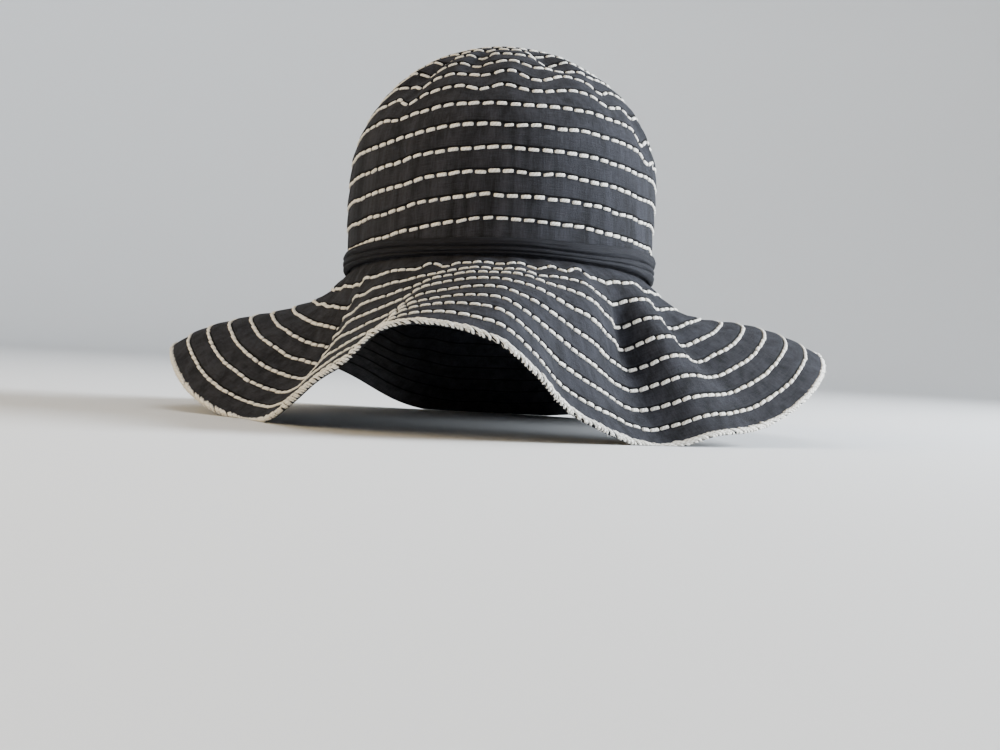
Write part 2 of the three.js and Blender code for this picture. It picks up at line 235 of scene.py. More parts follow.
# Creases along the band: depth as a share of its thickness, reach and wander as shares of its
# height.
Crease = namedtuple("Crease", "depth reach wander ripple")
UPPER_CREASE = Crease(0.5, 0.07, 0.05, Ripple(61, 2, 9, 0))
LOWER_CREASE = Crease(0.42, 0.06, 0.05, Ripple(62, 2, 9, 0))
THIRD_CREASE = Crease(0.12, 0.05, 0.08, Ripple(63, 2, 6, 0))
THIRD_CREASE_AT, THIRD_CREASE_FADE = 0.8, Ripple(64, 2, 5, 0)

# How much stitches differ: place as a share of the pitch, length, turn in degrees, shift sideways
# as a share of the width, and size.
Spread = namedtuple("Spread", "place length turn shift size")
STITCH_SPREAD = Spread(0.02, 0.05, 2.0, 0.06, 0.06)
STRAND_STRAY, STRAND_SPREAD, STRAND_PROUD = 0.25, 0.13, 0.2  # the same for the rim's strands
STRAND_SIZE_SPREAD, STRAND_FLATNESS = 0.14, 0.85

# The soft lights: place, width and colour. Their powers are settings of the stage.
Lamp = namedtuple("Lamp", "place width colour")
LAMPS = {
    "key": Lamp((1.9, 0.2, 0.75), 1.0, (0.88, 0.94, 1.0)),
    "fill": Lamp((-1.4, -0.9, 0.8), 1.2, (1.0, 0.7, 0.28)),
    "top": Lamp((0.1, 0.4, 1.7), 1.3, (1.0, 1.0, 1.0)),
}
LIT_POINT = (0, 0, 0.1)
SKY = (0.9, 0.93, 1.0, 1)

CROWN_ROUND, BRIM_FINE_ROUND, LINE_ROUND = 360, 540, 1440  # columns round the hat
BAND_ROUND, BAND_STEPS = 480, 56
BRIM_ROUND, BRIM_STEPS = 90, 18  # the brim's coarse grid, on which it settles
SETTLING_ROUNDS = 8
NUDGE, TURN = 0.0004, 0.2  # steps for slopes, in metres and degrees

ROW_STRIDE = 0.05  # metres of uv from one ribbon row to the next
FIRST_BRIM_ROW, UNDER_ROWS = 40, 20  # where the brim's and the inner rows' uv start, in rows
SKIRT_UV = 0.005
BRIM_ROW_GROWTH = 0.0118  # how much the brim's radius grows with a row, for its uv
BAND_LENGTH = 0.6  # of the band's uv
STRAND_STRIDE = 0.013  # of uv from one strand to the next

INNER_LAP = 0.4  # lift of the laps on the hidden face, as a share of the ledge
TIP_GAP = 0.001  # how near the tip the last ring may come
RIM_ROUNDING = 0.0003
SAG_RISE_ROWS, SAG_TIP_ROWS = 6, 3  # rows over which the sag changes, and fades out at the tip
SAG_WANDER = 0.035
LAP_SETBACK = 0.001  # from an even division of the brim to its laps
LOOSE_ALL, LOOSE_SEAM, LOOSE_FRONT = 0.0002, 0.0003, 0.0015  # wander of the brim's laps
LOOSE_ROWS = 1.2  # rows over which it dies away from the seam
FRONT_AT, FRONT_WIDTH = 5, 40  # the loose front, in degrees
GATHER_START, GATHER_FADE, RUMPLE_START = 0.05, 0.2, 0.1  # shares of the brim's width

CROWN_LINE_LIFT, BRIM_LINE_LIFT = 0.0002, 0.0003  # stitches over the cloth
STITCH_SIDES, FRAY_SIDES = 6, 3
CLOTH_REST, RIM_REST = 0.0001, 0.0002  # least heights over the floor
EDGE_WIDTH = 0.004  # the stretch of cloth that gives the rim's outward direction
CORE_INSET = 0.6  # of the cord under the strands, as a share of its radius
FRAY_PITCH, FRAY_STRAY = 0.0034, 0.0015
FRAY_SHORT, FRAY_LONG = 0.0016, 0.0034
FRAY_ROOT, FRAY_THIN, FRAY_UV = 0.0002, 0.34, 0.003


def metres(name, default, description):
    """A setting in metres."""
    return FloatProperty(name=name, description=description, default=default, unit="LENGTH")


def number(name, default, description):
    """A setting that is a plain number."""
    return FloatProperty(name=name, description=description, default=default)


def portion(name, default, description):
    """A setting between 0 and 1."""
    return FloatProperty(
        name=name, description=description, default=default, min=0, max=1, subtype="FACTOR")


def tally(name, default, description):
    """A setting that is a whole number."""
    return IntProperty(name=name, description=description, default=default)


def tint(name, default, description):
    """A setting that is a colour."""
    return FloatVectorProperty(
        name=name, description=description, default=default, min=0, max=1, subtype="COLOR")


class HatShape(bpy.types.PropertyGroup):
    """Sizes of the crown, the brim, the band and the ribbon."""

    seam_half_width: metres("Seam half width", 0.084, "Half the crown's width at the brim")
    seam_half_depth: metres("Seam half depth", 0.1, "Half the crown's depth at the brim")
    crown_height: metres("Crown height", 0.132, "Height of the crown over the seam")
    wall_height: metres("Wall height", 0.062, "Height of the crown's upright part")
    wall_bulge: metres("Wall bulge", 0.0035, "How far the upright part swells by its top")
    dome_power: number("Dome power", 1.86, "2 is an ellipse; less draws the shoulders in")
    brim_width: metres("Brim width", 0.112, "From the seam to the rim, along the cloth")
    brim_rows: tally("Brim rows", 9, "Rows of ribbon in the brim")
    ribbon_pitch: metres("Ribbon pitch", 0.0126, "From one row of the crown to the next")
    ribbon_wall: metres("Ribbon wall", 0.0014, "Thickness of the sewn cloth")
    ribbon_ledge: metres("Ribbon ledge", 0.0009, "How far a row's edge stands over the next row")
    first_row: metres("First row", 0.008, "Height of the crown's lowest lap over the seam")
    crown_skirt: metres("Crown skirt", 0.0024, "Hem of the crown inside the brim")
    tip_radius: metres("Tip radius", 0.007, "Flat start of the ribbon on top")
    band_height: metres("Band height", 0.012, "Height of the sash round the crown")
    band_thickness: metres("Band thickness", 0.0032, "Thickness of the folded sash")
    clearance: metres("Clearance", 0.0003, "Gap between pieces that touch")
    settle: metres("Settle", 0.0022, "How much of the rim's lowest edge is pressed flat")
    rumple: metres("Rumple", 0.0006, "Height of the cloth's soft unevenness")
    gather: metres("Gather", 0.0016, "Height of the small gathers where the brim is sewn on")


class HatStitching(bpy.types.PropertyGroup):
    """Sizes of the cream stitches."""

    crown_pitch: metres("Crown stitch pitch", 0.0071, "From one stitch of the crown to the next")
    crown_length: metres("Crown stitch length", 0.0055, "Length of a stitch on the crown")
    brim_pitch: metres("Brim stitch pitch", 0.0059, "From one stitch of the brim to the next")
    brim_length: metres("Brim stitch length", 0.0049, "Length of a stitch on the brim")
    width: metres("Stitch width", 0.002, "Width of a stitch across its row")
    thickness: metres("Stitch thickness", 0.0012, "How thick a stitch is over the cloth")
    below_lap: metres(
        "Below the lap", 0.0011, "From a ribbon's edge to the middle of its stitches")
    slant: number("Slant", 3.0, "How far each stitch turns from its row, in degrees")
    strand_pitch: metres("Overcast pitch", 0.0025, "From one strand along the rim to the next")
    strand_length: metres("Overcast length", 0.0058, "Length of a strand along the rim")
    strand_reach: metres("Overcast reach", 0.002, "Width of the overcast edge on the cloth")
    strand_radius: metres("Strand radius", 0.00072, "Radius of a strand at the rim")
    core_radius: metres("Core radius", 0.00055, "Radius of the cord under the overcast strands")
    seed: tally("Seed", 11, "Start of the random draws")


class HatFinish(bpy.types.PropertyGroup):
    """Colours and finishes of the cloth and the thread."""

    ribbon_dark: tint("Ribbon, dark", (0.006, 0.0062, 0.0082), "Darkest threads of the ribbon")
    ribbon_light: tint("Ribbon, light", (0.042, 0.043, 0.053), "Lightest slubs of the ribbon")
    ribbon_roughness: portion("Ribbon roughness", 0.78, "Roughness of the woven ribbon")
    sash_dark: tint("Sash, dark", (0.004, 0.0042, 0.006), "Darkest threads of the sash")
    sash_light: tint("Sash, light", (0.017, 0.0175, 0.023), "Worn ridges of the sash")
    thread_light: tint("Thread, light", (0.9, 0.88, 0.82), "Outer strands of the cream thread")
    # Painted shade in the grooves between the thread's strands, mixed with the thread's random
    # darker fuzz.
    thread_shade_and_fuzz: tint(
        "Thread, dark", (0.42, 0.37, 0.3), "Gaps between the strands of the thread")
    weave_pitch: metres("Weave pitch", 0.00055, "From one thread of the weave to the next")


class HatStage(bpy.types.PropertyGroup):
    """Camera, lights and floor."""

    camera_distance: metres("Camera distance", 1.0, "From the camera to the middle of the crown")
    focal_length: number(
        "Focal length", 63.18, "Lens of the camera, in millimetres on a 36 mm frame")
    tip_back: number("Tip back", 5.0, "How far the crown leans back from upright, in degrees")
    lean_right: number("Lean right", 2.2, "How far the crown leans to the right, in degrees")
    seam_right: metres("Seam to the right", -0.001, "The seam's middle to the right of the view's")
    seam_above: metres("Seam above", 0.0524, "Height of the seam's middle over the view's")
    floor_colour: tint("Floor", (0.72, 0.73, 0.74), "Colour of the floor and backdrop")
    key_power: number("Key light", 170.0, "Power of the main soft light, in watts")
    fill_power: number("Fill light", 22.0, "Power of the soft light on the left, in watts")
    top_power: number("Top light", 12.0, "Power of the soft light overhead, in watts")
    surround: number("Surround", 0.27, "Strength of the even light from all round")


def column(table, name):
    """One named column of a table as an array."""
    return np.array([getattr(row, name) for row in table], float)


def round_curve(azimuth, table, name):
    """Smooth closed curve through one column of a table of azimuths. Each piece is a cubic whose
    slope at a row of the table is that between the rows on either side."""
    at, value = column(table, "at"), column(table, name)
    at = np.concatenate([at[-2:] - 360, at, at[:2] + 360])
    value = np.concatenate([value[-2:], value, value[:2]])
    slope = (value[2:] - value[:-2]) / (at[2:] - at[:-2])
    a = (np.asarray(azimuth, float) - at[2]) % 360 + at[2]
    i = np.clip(np.searchsorted(at, a, side="right") - 1, 1, len(at) - 3)
    span = at[i + 1] - at[i]
    u = (a - at[i]) / span
    u2, u3 = u ** 2, u ** 3
    return (
        (2 * u3 - 3 * u2 + 1) * value[i]
        + (u3 - 2 * u2 + u) * span * slope[i - 1]
        + (3 * u2 - 2 * u3) * value[i + 1]
        + (u3 - u2) * span * slope[i]
    )


def all_round(count):
    """Evenly spaced azimuths all round the hat."""
    return np.arange(count) * 360 / count


def bump(x):
    """1 in the middle, 0 at the ends and beyond: the square of a cosine's hump."""
    return np.where(np.abs(x) < 1, np.cos(x * np.pi / 2) ** 2, 0)


def wrapped(degrees):
    """The same direction between -180 and 180 degrees."""
    return (degrees + 180) % 360 - 180


def unit(vectors):
    """Vectors made one long."""
    return vectors / np.maximum(np.linalg.norm(vectors, axis=-1, keepdims=True), 1e-12)


def wander(azimuth, along, ripple, waves=14):
    """Soft unevenness between about -1 and 1: a sum of waves round the hat whose numbers of turns
    lie between the slowest and the fastest, each sliding sideways as it goes along."""
    draw = np.random.default_rng(ripple.seed)
    turns = draw.integers(ripple.slowest, ripple.fastest + 1, waves)
    phase = draw.uniform(0, 2 * np.pi, waves)
    slide = draw.uniform(-ripple.drift, ripple.drift, waves)
    total = 0
    for n, p, s in zip(turns, phase, slide):
        total = total + np.cos(n * np.radians(azimuth) + p + s * along)
    return total * np.sqrt(2 / waves) / 2


def seam_oval(shape, azimuth, share=1.0, up=0.0):
    """Points of the seam oval, or of one that is a share of it and higher up."""
    a = np.radians(azimuth)
    x = shape.seam_half_width * share * np.sin(a)
    y = -shape.seam_half_depth * share * np.cos(a)
    return np.stack([x, y, up + 0 * a], -1)


def outward(shape, azimuth):
    """Direction away from the seam oval in plan: the oval's normal."""
    a = np.radians(azimuth)
    x = shape.seam_half_depth * np.sin(a)
    y = -shape.seam_half_width * np.cos(a)
    return unit(np.stack([x, y, 0 * a], -1))


def mean_radius(shape):
    """Mean radius of the seam oval."""
    return (shape.seam_half_width + shape.seam_half_depth) / 2


def crown_side(shape, steps=240):
    """The crown's side from the seam to the tip, as arc length, share of the seam oval, height and
    normal. The wall swells by a quarter of a sine, and the dome is a super-ellipse."""
    radius = mean_radius(shape)
    swell = shape.wall_bulge / shape.seam_half_width
    share = np.linspace(0, 1, steps)
    wall = 1 + swell * np.sin(share * np.pi / 2)
    u = share[1:] * np.pi / 2
    dome = (1 + swell) * np.maximum(np.cos(u), 0) ** (2 / shape.dome_power)
    dome_height = shape.crown_height - shape.wall_height
    rise = shape.wall_height + dome_height * np.sin(u) ** (2 / shape.dome_power)
    oval = np.concatenate([wall, dome])
    up = np.concatenate([share * shape.wall_height, rise])
    arc = np.concatenate([[0], np.cumsum(np.hypot(np.diff(oval) * radius, np.diff(up)))])
    return arc, oval, up, -np.gradient(oval, arc) * radius, np.gradient(up, arc)


def crown_arc(shape):
    """Length of the crown's side from the seam to the tip."""
    return crown_side(shape)[0][-1]


def crown_sag(shape, azimuth, row_arc):
    """How far the cloth of a row lies below its level ring: the sag table, from its low to its
    high column over the lower rows, and each pucker as a bump. It fades out at both ends."""
    whole, pitch = crown_arc(shape), shape.ribbon_pitch
    rise = np.clip((row_arc - shape.first_row) / (SAG_RISE_ROWS * pitch), 0, 1)
    low = round_curve(azimuth, ROW_SAG, "low")
    high = round_curve(azimuth, ROW_SAG, "high")
    sag = low + (high - low) * rise
    for p in CROWN_PUCKERS:
        along = (row_arc / whole - p.height) / p.half_height
        across = wrapped(azimuth - p.at - p.lean * along) / p.half_width
        sag = sag + p.sag * bump(across) * bump(along)
    sag = sag + SAG_WANDER * wander(azimuth, row_arc, SAG_RIPPLE)
    fade = np.clip(row_arc / pitch, 0, 1)
    fade = fade * np.clip((whole - row_arc) / (SAG_TIP_ROWS * pitch), 0, 1)
    return sag * pitch * fade


def crown_surface(shape, azimuth, arc):
    """Points and normals of the crown's smooth side: its curve, carried round the seam oval."""
    arcs, oval, up, out, rise = crown_side(shape)
    k = np.interp(arc, arcs, oval)
    normal = outward(shape, azimuth) * np.interp(arc, arcs, rise)[..., None]
    normal[..., 2] = np.interp(arc, arcs, out)
    return seam_oval(shape, azimuth, k, np.interp(arc, arcs, up)), unit(normal)


def crown_face(shape, azimuth, row_arc, lift):
    """Points and normals of the crown's cloth: the smooth side, moved in by each dent and pucker
    and by the rumple, and then out by the lift."""
    whole = crown_arc(shape)
    arc = np.clip(row_arc - crown_sag(shape, azimuth, row_arc), 0, whole)
    share = arc / whole
    inward = 0
    for d in CROWN_DENTS + CROWN_PUCKERS:
        along = (share - d.height) / d.half_height
        across = wrapped(azimuth - d.at - d.lean * along) / d.half_width
        inward = inward + d.depth * shape.ribbon_pitch * bump(across) * bump(along)
    inward = inward + shape.rumple * wander(azimuth, arc, CROWN_RUMPLE) * bump(2 * share - 1)
    point, normal = crown_surface(shape, azimuth, arc)
    return point + normal * (lift - inward)[..., None], normal


def brim_rays(shape, azimuth, steps):
    """Rows of points from the seam to the rim at even steps. The slope goes evenly between its
    five values in the table of waves, and each step follows the slope at its middle."""
    swing = np.radians(round_curve(azimuth, BRIM_WAVES, "swing"))
    swing = np.where(wrapped(azimuth) < 0, swing, -swing)
    out = outward(shape, azimuth)
    way = np.stack([
        out[..., 0] * np.cos(swing) - out[..., 1] * np.sin(swing),
        out[..., 0] * np.sin(swing) + out[..., 1] * np.cos(swing),
        0 * swing,
    ], -1)
    u = (np.arange(steps) + 0.5) / steps
    slope = 0
    for quarter, name in enumerate(SLOPES):
        value = np.radians(round_curve(azimuth, BRIM_WAVES, name))[..., None]
        slope = slope + value * np.maximum(1 - np.abs(4 * u - quarter), 0)
    step = shape.brim_width / steps
    start = np.zeros(np.shape(azimuth) + (1,))
    along = np.concatenate([start, np.cumsum(np.cos(slope), -1) * step], -1)
    down = np.concatenate([start, np.cumsum(np.sin(slope), -1) * step], -1)
    root = (seam_oval(shape, azimuth) + out * shape.clearance)[..., None, :]
    return root + along[..., None] * way[..., None, :] - down[..., None] * np.array([0, 0, 1.0])


def folds_at(shape, table, azimuth, share):
    """Height of the folds of one table: each is a bump across its line and a bump along it."""
    total = 0 * share
    for f in table:
        middle = f.seam_at + (f.rim_at - f.seam_at) * share
        along = (2 * share - f.start - f.end) / (f.end - f.start)
        across = wrapped(azimuth - middle) / f.half_width
        total = total + f.height * shape.ribbon_pitch * bump(across) * bump(along)
    return total


def grid_normals(points):
    """Upward normals of a closed coarse grid, from the neighbours on either side."""
    round_way = np.roll(points, -1, 0) - np.roll(points, 1, 0)
    outer = np.concatenate([points[:, 1:], points[:, -1:]], 1)
    inner = np.concatenate([points[:, :1], points[:, :-1]], 1)
    return unit(np.cross(outer - inner, round_way))


def settled(shape):
    """How the hat stands: a turn that brings the plane under its three lowest dips level, and a
    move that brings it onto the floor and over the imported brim."""
    azimuth = all_round(BRIM_ROUND)
    share = np.arange(BRIM_STEPS + 1) / BRIM_STEPS
    rays = brim_rays(shape, azimuth, BRIM_STEPS)
    height = folds_at(shape, BRIM_FOLDS, azimuth[:, None], np.tile(share, (BRIM_ROUND, 1)))
    rays = rays + grid_normals(rays) * height[..., None]
    normals = grid_normals(rays)[:, -1]
    foot = rays[:, -1] - normals * shape.ribbon_wall
    up = np.array([0, 0, 1.0])
    for _ in range(SETTLING_ROUNDS):
        a, b, c = (lowest_of(foot, azimuth, dip, up) for dip in RESTING_DIPS)
        up = unit(np.cross(a - b, c - b))
        up = up if up[2] > 0 else -up
    turn = level_turn(up)
    edge = np.concatenate([foot, rays[:, -1] + normals * shape.ribbon_ledge]) @ turn.T
    low, high = (np.array(corner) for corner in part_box("brim"))
    move = (low + high) / 2 - (edge.min(0) + edge.max(0)) / 2
    move[2] = -np.min(foot @ up) - shape.settle
    return turn, move


def lowest_of(foot, azimuth, dip, up):
    """The lowest point of one stretch of the rim."""
    inside = (azimuth - dip.start) % 360 <= dip.end - dip.start
    return foot[inside][np.argmin(foot[inside] @ up)]


def level_turn(up):
    """The smallest turn that takes up to +Z, by Rodrigues' formula."""
    x, y, z = up
    cross = np.array([[0, 0, -x], [0, 0, -y], [x, y, 0]])
    return np.eye(3) + cross + cross @ cross / (1 + z)


def placed(shape, points, least=0.0):
    """Points set down on the floor: turned level, moved, and pressed flat where they would lie
    below the least height."""
    turn, move = settled(shape)
    points = points @ turn.T + move
    points[..., 2] = np.maximum(points[..., 2], least)
    return points


def brim_sheet(shape, azimuth, along):
    """The brim's unfolded cloth at a distance along it, between the fine points of its rays."""
    steps = 8 * BRIM_STEPS
    rays = brim_rays(shape, azimuth[:, 0], steps)
    place = np.clip(along / shape.brim_width, 0, 1) * steps
    i = np.minimum(place.astype(int), steps - 1)
    near = np.take_along_axis(rays, i[..., None], 1)
    far = np.take_along_axis(rays, i[..., None] + 1, 1)
    beyond = along / shape.brim_width * steps - i
    return near + (far - near) * beyond[..., None]


def slopes_cross(face, azimuth, along):
    """Upward normals of a face: the cross product of its slopes outwards and round the hat."""
    out = face(azimuth, along + NUDGE) - face(azimuth, along - NUDGE)
    round_way = face(azimuth + TURN, along) - face(azimuth - TURN, along)
    return unit(np.cross(out, round_way))


def brim_cloth(shape, azimuth, along):
    """The brim's folded face: the sheet, moved along its normals by the folds, the creases, the
    small gathers that die away from the seam, and the rumple."""
    sheet = brim_sheet(shape, azimuth, along)
    normal = slopes_cross(lambda a, s: brim_sheet(shape, a, s), azimuth, along)
    share = np.clip(along / shape.brim_width, 0, 1)
    height = folds_at(shape, BRIM_FOLDS + BRIM_CREASES, azimuth, share)
    near_seam = np.clip(share / GATHER_START, 0, 1) * np.exp(-share / GATHER_FADE)
    height = height + shape.gather * near_seam * wander(azimuth, along, GATHERS)
    off_seam = np.clip(share / RUMPLE_START, 0, 1)
    height = height + shape.rumple * off_seam * wander(azimuth, along, BRIM_RUMPLE)
    return sheet + normal * height[..., None]


def brim_row(shape, azimuth, row):
    """Distance from the seam of the lap under a row of the brim. It is uneven by a little, and by
    more near the seam at the front."""
    front = np.exp(-(wrapped(azimuth - FRONT_AT) / FRONT_WIDTH) ** 2)
    loose = (LOOSE_SEAM + LOOSE_FRONT * front) * np.exp(-(row - 1) / LOOSE_ROWS) + LOOSE_ALL
    even = shape.brim_width * row / shape.brim_rows - LAP_SETBACK
    ripple = BRIM_ROW_RIPPLE._replace(seed=BRIM_ROW_RIPPLE.seed + row)
    return even + loose * wander(azimuth, 0, ripple)


def sew_mesh(name, points, faces, uv=None, material=None):
    """A mesh object from arrays: points, faces of three or four corners, and each corner's uv."""
    mesh = bpy.data.meshes.new(name)
    counts = np.concatenate([np.full(len(f), f.shape[1]) for f in faces])
    corners = np.concatenate([f.ravel() for f in faces])
    mesh.vertices.add(len(points))
    mesh.vertices.foreach_set("co", np.ascontiguousarray(points, np.float32).ravel())
    mesh.loops.add(len(corners))
    mesh.loops.foreach_set("vertex_index", corners.astype(np.int32))
    mesh.polygons.add(len(counts))
    starts = np.concatenate([[0], np.cumsum(counts)[:-1]])
    mesh.polygons.foreach_set("loop_start", starts.astype(np.int32))
    mesh.polygons.foreach_set("loop_total", counts.astype(np.int32))
    mesh.polygons.foreach_set("use_smooth", np.ones(len(counts), bool))
    if uv is not None:
        layer = mesh.uv_layers.new(name="cloth")
        layer.data.foreach_set("uv", np.ascontiguousarray(uv, np.float32).ravel())
    mesh.update(calc_edges=True)
    mesh.validate()
    piece = bpy.data.objects.new(name, mesh)
    bpy.context.scene.collection.objects.link(piece)
    if material is not None:
        mesh.materials.append(material)
    return piece


def ring_faces(rings, round_count, closed):
    """Faces between rings of points that run round the hat, each ring below or outside the one
    before. When closed, the last ring meets the first. Also gives each corner's ring and column,
    where the last column is one past the round, so that a uv doesn't turn back."""
    last = rings if closed else rings - 1
    j, i = np.meshgrid(np.arange(last), np.arange(round_count), indexing="ij")
    ring = np.stack([j, j + 1, j + 1, j], -1).reshape(-1, 4)
    col = np.stack([i, i, i + 1, i + 1], -1).reshape(-1, 4)
    return ring, col, (ring % rings) * round_count + col % round_count


def cloth_faces(round_count, ring_round, ring_across, closed):
    """Faces between rings, and each corner's uv in metres: round the hat on its ring's own length,
    and across the cloth."""
    rings = len(ring_round)
    ring, col, quads = ring_faces(rings, round_count, closed)
    u = col / round_count * ring_round[ring % rings]
    return quads, np.stack([u, ring_across[ring % rings]], -1).reshape(-1, 2)


def lap_rings(feet, pitch):
    """Stations over every lap, from the lowest foot upwards: distance, lift share and row."""
    up, lift = column(LAP, "up"), column(LAP, "lift")
    spans = np.diff(np.append(feet, feet[-1] + pitch))
    at = (feet[:, None] + up[None, :] * spans[:, None]).ravel()
    row = np.repeat(np.arange(len(feet)), len(up))
    return at, np.tile(lift, len(feet)), row


def crown_feet(shape):
    """Arc of each lap's foot on the crown, from the lowest up to the flat tip."""
    top = crown_arc(shape) - shape.tip_radius - shape.ribbon_pitch / 2
    return np.arange(shape.first_row, top, shape.ribbon_pitch)


def make_crown(shape, finish):
    """Crown: the outer face from the tip down over every lap, the hem, and the inner face back up
    with shallow laps. Each end ring closes on its middle."""
    azimuth, whole, feet = all_round(CROWN_ROUND), crown_arc(shape), crown_feet(shape)
    at, lift, row = lap_rings(feet, shape.ribbon_pitch)
    keep = at < whole - TIP_GAP
    at, lift, row = at[keep], lift[keep], row[keep]
    ring_at = np.concatenate([at[::-1], [shape.first_row / 2, 0, 0], at])
    inner_lift = -shape.ribbon_wall - INNER_LAP * shape.ribbon_ledge * np.append(0, lift)
    ring_lift = np.concatenate([lift[::-1] * shape.ribbon_ledge, [0, 0], inner_lift])
    ring_row = np.concatenate([row[::-1], [-1, -1, -1], row])
    a, t = np.meshgrid(azimuth, ring_at)
    points, _ = crown_face(shape, a, t, np.broadcast_to(ring_lift[:, None], a.shape))
    hem = len(at) + 2
    points[hem - 1:hem + 1, :, 2] -= shape.crown_skirt
    poles = np.stack([points[0].mean(0), points[-1].mean(0)])
    points = points.reshape(-1, 3)
    arcs, oval, _, _, _ = crown_side(shape)
    middle = shape.first_row + (ring_row + 0.5) * shape.ribbon_pitch
    oval_there = np.interp(np.clip(middle, 0, whole), arcs, oval)
    length = 2 * np.pi * mean_radius(shape) * oval_there
    within = np.where(ring_row < 0, SKIRT_UV, ring_at - feet[ring_row])
    under = UNDER_ROWS * (np.arange(len(ring_at)) >= hem)
    across = within + ROW_STRIDE * (ring_row + 1 + under)
    count = CROWN_ROUND
    quads, uv = cloth_faces(count, length, across, False)
    start, end = len(points), len(points) + 1
    i = np.arange(count)
    after = (i + 1) % count
    last = (len(ring_at) - 1) * count
    top = np.stack([np.full(count, start), i, after], -1)
    under = np.stack([np.full(count, end), last + after, last + i], -1)
    columns = np.concatenate([np.stack([i, i, i + 1], -1), np.stack([i, i + 1, i], -1)])
    inwards = np.broadcast_to([shape.tip_radius, 0, 0], columns.shape)
    cap_uv = np.stack([columns / count * length[0], across[0] + inwards], -1).reshape(-1, 2)
    sew_piece(
        "crown_cloth", placed(shape, np.concatenate([points, poles])), [quads, top, under],
        np.concatenate([uv, cap_uv]), ribbon_cloth(finish), "crown")


def make_brim(shape, finish):
    """Brim: the upper face over every lap from the seam to the rim, then the under face with
    shallow laps back to the seam, where the last ring meets the first."""
    count = BRIM_FINE_ROUND
    azimuth = all_round(count)
    up, lift = column(LAP, "up"), column(LAP, "lift")
    rows = np.arange(shape.brim_rows)
    edges = [np.zeros(count)] + [brim_row(shape, azimuth, r) for r in rows[1:]]
    edges = np.stack(edges + [np.full(count, shape.brim_width)])
    upper = brim_stations(edges, up)
    rounding = np.full((1, count), shape.brim_width + RIM_ROUNDING)
    under = brim_stations(edges, up[::2])[::-1]
    along = np.concatenate([upper, rounding, under])
    upper_lift = np.tile(lift[::-1], shape.brim_rows) * shape.ribbon_ledge
    upper_lift[-1] = shape.ribbon_ledge
    shallow = INNER_LAP * shape.ribbon_ledge * np.tile(lift[::2], shape.brim_rows)
    ring_lift = np.concatenate([upper_lift, [-RIM_ROUNDING], shallow - shape.ribbon_wall])
    ring_row = np.concatenate([
        np.repeat(rows, len(up)), [shape.brim_rows], np.repeat(rows, len(up[::2]))[::-1]])
    a = np.broadcast_to(azimuth[:, None], along.T.shape)
    points, normals = brim_lifted(shape, a, along.T)
    points = (points + normals * ring_lift[None, :, None]).transpose(1, 0, 2)
    circle = 2 * np.pi * (mean_radius(shape) + ring_row * BRIM_ROW_GROWTH)
    outer = edges.mean(1)[np.minimum(ring_row + 1, shape.brim_rows)]
    below = UNDER_ROWS * (np.arange(len(along)) > len(upper))
    across = np.maximum(outer - along.mean(1), 0) + ROW_STRIDE * (
        ring_row + FIRST_BRIM_ROW + below)
    quads, uv = cloth_faces(count, circle, across, True)
    points = placed(shape, points.reshape(-1, 3), CLOTH_REST)
    sew_piece("brim_cloth", points, [quads], uv, ribbon_cloth(finish), "brim")


def brim_stations(edges, up):
    """Distances from the seam over every row of the brim, between the edges of its rows."""
    spans = edges[1:] - edges[:-1]
    return (edges[1:, None] - spans[:, None] * up[::-1, None]).reshape(-1, edges.shape[1])


def brim_lifted(shape, azimuth, along):
    """Points of the brim's folded face and their upward normals."""
    points = brim_cloth(shape, azimuth, along)
    normals = slopes_cross(lambda a, s: brim_cloth(shape, a, s), azimuth, along)
    return points, normals


def make_band(shape, finish):
    """Band: a soft section carried round the foot of the crown. Its swell is a flat dome less a
    sharp hollow at each long crease, and fine wrinkles run along it at a slight slope."""
    azimuth = all_round(BAND_ROUND)
    a, w = np.meshgrid(azimuth, np.linspace(1, 0, BAND_STEPS))
    dome = 1 - np.abs(2 * w - 1) ** 5 * 0.7
    swell = dome * (0.78 + 0.22 * (1 - w))
    swell = swell - hollow(a, w, round_curve(a, BAND_EDGE, "upper"), UPPER_CREASE)
    swell = swell - hollow(a, w, round_curve(a, BAND_EDGE, "lower"), LOWER_CREASE)
    third_share = 0.5 + 0.5 * wander(a, 0, THIRD_CREASE_FADE)
    swell = swell - hollow(a, w, THIRD_CREASE_AT, THIRD_CREASE) * third_share
    swell = swell + 0.07 * wander(a, w, BAND_RUMPLE)
    swell = swell + 0.025 * np.sin(34 * w + 3 * wander(a, 0, BAND_WRINKLES))
    top = round_curve(a, BAND_EDGE, "top") * (1 + 0.05 * wander(a, 0, BAND_TOP_RIPPLE))
    seat = shape.ribbon_ledge + shape.clearance
    level = 2 * shape.clearance + w * shape.band_height * top
    lift = seat + shape.band_thickness * np.clip(swell, 0.12, 1.2)
    level = np.concatenate([level, level[-1:], level[:1]])
    lift = np.concatenate([lift, np.full((2, BAND_ROUND), seat)])
    points, normals = crown_surface(shape, np.concatenate([a, a[:2]]), level)
    points = (points + normals * lift[..., None]).reshape(-1, 3)
    length = np.full(len(level), BAND_LENGTH)
    quads, uv = cloth_faces(BAND_ROUND, length, level.mean(1), True)
    points = placed(shape, points)
    sew_piece("band_cloth", points, [quads], uv, sash_cloth(finish), "band")


def hollow(azimuth, place, line, crease):
    """A sharp hollow along the band, deepest on its wandering line."""
    line = line + crease.wander * wander(azimuth, 0, crease.ripple)
    return crease.depth * np.exp(-np.abs(place - line) / crease.reach)


def sew_piece(name, points, faces, uv, material, node=None):
    """A piece that rides on the hat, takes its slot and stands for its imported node."""
    piece = sew_mesh(name, points, faces, uv, material)
    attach(piece, "root")
    if node:
        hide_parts(node)


